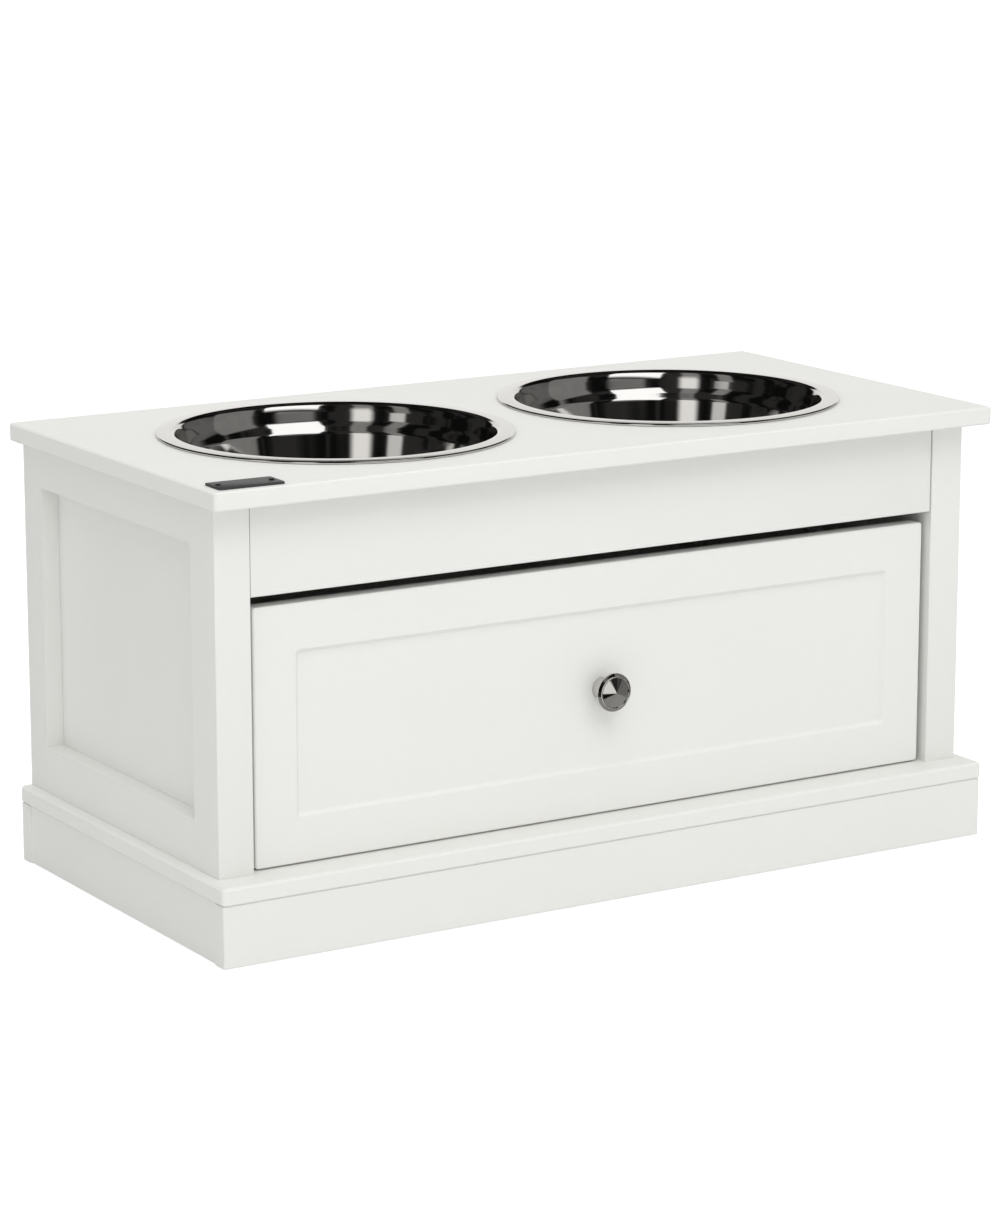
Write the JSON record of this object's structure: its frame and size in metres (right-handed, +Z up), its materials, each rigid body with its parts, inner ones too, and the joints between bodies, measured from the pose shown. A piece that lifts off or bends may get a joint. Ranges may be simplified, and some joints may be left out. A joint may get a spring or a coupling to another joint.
{
  "type": "elevated dog feeder with storage",
  "caption": "Raised feeding table on a skirted cabinet: two stepped steel bowls hang in the top board over a drawer with a sunk-field front and a knob, on roller runners",
  "frame": {"origin": "on the floor under the middle of the top board", "axes": "+X to the right across the front, -Y is the way the drawer opens, +Z up"},
  "size_m": [0.6, 0.296, 0.3054],
  "materials": {
    "painted_board": "satin off-white paint on fibreboard",
    "drawer_board": "white melamine-faced board",
    "bowl_steel": "polished pressed stainless steel",
    "knob_metal": "bright nickel plating",
    "runner_steel": "white powder-coated rolled steel",
    "roller_plastic": "white nylon",
    "fastener_steel": "zinc-plated steel",
    "dowel_wood": "fluted beech",
    "block_wood": "planed pine"
  },
  "bodies": {
    "cabinet": {"back_panel": "painted_board", "base_board": "painted_board", "base_screws": "fastener_steel", "cabinet_runner_screws": "fastener_steel", "cam_bolts": "fastener_steel", "cam_discs": "fastener_steel", "frame_dowels": "dowel_wood", "front_apron": "painted_board", "front_roller_pins": "fastener_steel", "front_skirt": "painted_board", "left_bottom_rail": "painted_board", "left_cabinet_runner": "runner_steel", "left_front_post": "painted_board", "left_rear_post": "painted_board", "left_side_panel": "painted_board", "left_skirt": "painted_board", "left_top_rail": "painted_board", "rear_skirt": "painted_board", "rear_top_rail": "painted_board", "right_bottom_rail": "painted_board", "right_cabinet_runner": "runner_steel", "right_front_post": "painted_board", "right_rear_post": "painted_board", "right_side_panel": "painted_board", "right_skirt": "painted_board", "right_top_rail": "painted_board", "skirt_corner_blocks": "block_wood", "top_board": "painted_board"},
    "drawer": {"drawer_front": "painted_board", "drawer_inner_front": "drawer_board", "drawer_back": "drawer_board", "drawer_left_side": "drawer_board", "drawer_right_side": "drawer_board", "drawer_bottom": "drawer_board", "drawer_corner_screws": "fastener_steel", "drawer_front_screws": "fastener_steel", "drawer_runner_screws": "fastener_steel", "left_drawer_runner": "runner_steel", "right_drawer_runner": "runner_steel", "rear_roller_pins": "fastener_steel", "knob": "knob_metal", "knob_screw": "fastener_steel"},
    "left_bowl": {"left_bowl": "bowl_steel"},
    "right_bowl": {"right_bowl": "bowl_steel"},
    "left_front_roller": {"left_front_roller": "roller_plastic"},
    "right_front_roller": {"right_front_roller": "roller_plastic"},
    "left_rear_roller": {"left_rear_roller": "roller_plastic"},
    "right_rear_roller": {"right_rear_roller": "roller_plastic"}
  },
  "joints": [
    {"name": "drawer_slide", "type": "slide", "parent": "cabinet", "child": "drawer", "axis": [0, -1, 0], "range_m": [0, 0.185]},
    {"name": "left_bowl_lift", "type": "slide", "parent": "cabinet", "child": "left_bowl", "axis": [0, 0, 1], "range_m": [0, 0.08]},
    {"name": "right_bowl_lift", "type": "slide", "parent": "cabinet", "child": "right_bowl", "axis": [0, 0, 1], "range_m": [0, 0.08]},
    {"name": "left_front_roller_spin", "type": "hinge", "parent": "cabinet", "child": "left_front_roller", "pos_m": [-0.2595, -0.0925, 0.0736], "axis": [1, 0, 0], "range_deg": [0, 1380]},
    {"name": "right_front_roller_spin", "type": "hinge", "parent": "cabinet", "child": "right_front_roller", "pos_m": [0.2595, -0.0925, 0.0736], "axis": [1, 0, 0], "range_deg": [0, 1380]},
    {"name": "left_rear_roller_spin", "type": "hinge", "parent": "drawer", "child": "left_rear_roller", "pos_m": [-0.259, 0.1115, 0.0717], "axis": [1, 0, 0], "range_deg": [0, 1380]},
    {"name": "right_rear_roller_spin", "type": "hinge", "parent": "drawer", "child": "right_rear_roller", "pos_m": [0.259, 0.1115, 0.0717], "axis": [1, 0, 0], "range_deg": [0, 1380]}
  ],
  "couplings": [
    {"joint": "left_front_roller_spin", "follows": "drawer_slide", "rad_per_m": 129.87},
    {"joint": "right_front_roller_spin", "follows": "drawer_slide", "rad_per_m": 129.87},
    {"joint": "left_rear_roller_spin", "follows": "drawer_slide", "rad_per_m": 129.87},
    {"joint": "right_rear_roller_spin", "follows": "drawer_slide", "rad_per_m": 129.87}
  ]
}
